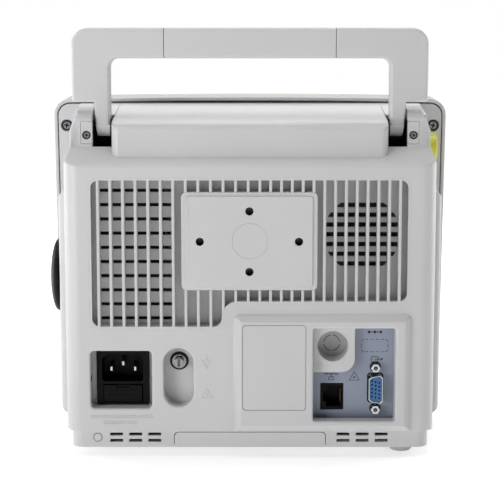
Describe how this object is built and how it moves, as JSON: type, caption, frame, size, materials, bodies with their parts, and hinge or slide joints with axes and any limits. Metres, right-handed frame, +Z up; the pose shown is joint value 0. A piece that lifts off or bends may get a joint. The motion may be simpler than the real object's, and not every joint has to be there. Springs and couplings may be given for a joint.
{
  "type": "patient monitor",
  "caption": "Portable bedside patient monitor with a folding carrying handle, rear vents, mounting plate, mains inlet, connector pocket and side knob.",
  "frame": {"origin": "on the table, under the middle of the monitor", "axes": "+Z up, +Y from the screen to the rear, +X to the right as the user faces the screen"},
  "size_m": [0.2416, 0.12, 0.2484],
  "materials": {
    "case_plastic": "fine spark-textured off-white ABS, satin",
    "brass_inserts": "machined",
    "screw_steel": "zinc plated",
    "screen_glass": "anti-glare coated, dark",
    "lamp_plastic": "frosted translucent lens",
    "lcd_black": "LCD module",
    "sheet_steel": "pressed sheet",
    "circuit_board": "solder mask",
    "chip_black": "moulded black",
    "battery_wrap": "shrink-wrapped pack",
    "inner_plastic": "unpainted moulding",
    "pump_metal": "cast, satin",
    "cone_paper": "doped paper cone",
    "foot_rubber": "soft dark rubber",
    "inlet_black": "glossy black nylon",
    "contact_metal": "bright nickel plate",
    "fuse_glass": "glass fuse with metal caps",
    "label_film": "blue-grey printed film, blank",
    "video_blue": "blue moulded insulator",
    "bush_nylon": "natural nylon",
    "knob_black": "soft black knob",
    "ecg_green": "translucent yellow-green",
    "socket_blue": "coloured socket collar",
    "socket_brown": "coloured socket collar",
    "light_pipe": "clear light pipe",
    "key_grey": "soft-touch key"
  },
  "bodies": {
    "monitor": {"rear_housing": "case_plastic", "top_cover": "case_plastic", "knob_panel": "case_plastic", "socket_panel": "case_plastic", "vent_grille": "case_plastic", "mount_plate": "case_plastic", "mount_inserts": "brass_inserts", "front_bezel": "case_plastic", "display_back_frame": "case_plastic", "case_screws": "screw_steel", "screen_lens": "screen_glass", "alarm_lamp": "lamp_plastic", "lcd_module": "lcd_black", "main_board": "circuit_board", "board_parts": "chip_black", "chassis_plate": "sheet_steel", "power_board": "circuit_board", "parameter_board": "circuit_board", "key_board": "circuit_board", "battery_pack": "battery_wrap", "battery_bay": "inner_plastic", "pressure_unit": "pump_metal", "speaker_frame": "chip_black", "rubber_feet": "foot_rubber", "mains_inlet": "inlet_black", "mains_pins": "contact_metal", "earth_stud": "contact_metal", "connector_panel": "label_film", "aux_port_boss": "case_plastic", "network_jack": "inlet_black", "video_shell": "contact_metal", "video_insulator": "video_blue", "video_jackscrews": "contact_metal", "module_blank_cover": "case_plastic", "handle_pins": "screw_steel", "pin_covers": "case_plastic", "encoder_body": "chip_black", "ecg_socket": "ecg_green", "sensor_sockets": "socket_blue", "cuff_port": "contact_metal", "temperature_sockets": "socket_brown", "socket_inserts": "inlet_black", "status_lights": "light_pipe"},
    "handle": {"handle_arm_left": "case_plastic", "handle_arm_right": "case_plastic", "handle_grip": "case_plastic", "handle_bushes": "bush_nylon"},
    "encoder": {"encoder_shaft": "screw_steel"},
    "knob": {"control_knob": "knob_black"},
    "battery_door": {"battery_door": "case_plastic"},
    "fuse_drawer": {"fuse_drawer": "inlet_black", "fuses": "fuse_glass"},
    "side_door": {"side_door": "case_plastic"},
    "speaker_cone": {"speaker_cone": "cone_paper"},
    "power_button": {"power_button": "key_grey"},
    "key_1": {"key_1": "key_grey"},
    "key_2": {"key_2": "key_grey"},
    "key_3": {"key_3": "key_grey"},
    "key_4": {"key_4": "key_grey"},
    "key_5": {"key_5": "key_grey"}
  },
  "joints": [
    {"name": "handle_fold", "type": "hinge", "parent": "monitor", "child": "handle", "pos_m": [0, 0.027, 0.193], "axis": [-1, 0, 0], "range_deg": [0, 95]},
    {"name": "knob_press", "type": "slide", "parent": "monitor", "child": "encoder", "axis": [-1, 0, 0], "range_m": [0, 0.0006], "stiffness_N_per_m": 1500},
    {"name": "knob_turn", "type": "hinge", "parent": "encoder", "child": "knob", "pos_m": [0.1165, 0.004, 0.0994], "axis": [1, 0, 0], "continuous": true},
    {"name": "battery_door_hinge", "type": "hinge", "parent": "monitor", "child": "battery_door", "pos_m": [0, -0.0178, 0.0062], "axis": [-1, 0, 0], "range_deg": [0, 80]},
    {"name": "fuse_drawer_slide", "type": "slide", "parent": "monitor", "child": "fuse_drawer", "axis": [0, 1, 0], "range_m": [0, 0.016]},
    {"name": "side_door_hinge", "type": "hinge", "parent": "monitor", "child": "side_door", "pos_m": [0.1122, 0.001, 0.027], "axis": [0, 1, 0], "range_deg": [0, 100]},
    {"name": "speaker_travel", "type": "slide", "parent": "monitor", "child": "speaker_cone", "axis": [0, 1, 0], "range_m": [-0.0004, 0.0004], "stiffness_N_per_m": 1000},
    {"name": "power_button_press", "type": "slide", "parent": "monitor", "child": "power_button", "axis": [0, 1, 0], "range_m": [0, 0.0008], "stiffness_N_per_m": 500},
    {"name": "key_1_press", "type": "slide", "parent": "monitor", "child": "key_1", "axis": [0, 1, 0], "range_m": [0, 0.0008], "stiffness_N_per_m": 500},
    {"name": "key_2_press", "type": "slide", "parent": "monitor", "child": "key_2", "axis": [0, 1, 0], "range_m": [0, 0.0008], "stiffness_N_per_m": 500},
    {"name": "key_3_press", "type": "slide", "parent": "monitor", "child": "key_3", "axis": [0, 1, 0], "range_m": [0, 0.0008], "stiffness_N_per_m": 500},
    {"name": "key_4_press", "type": "slide", "parent": "monitor", "child": "key_4", "axis": [0, 1, 0], "range_m": [0, 0.0008], "stiffness_N_per_m": 500},
    {"name": "key_5_press", "type": "slide", "parent": "monitor", "child": "key_5", "axis": [0, 1, 0], "range_m": [0, 0.0008], "stiffness_N_per_m": 500}
  ]
}
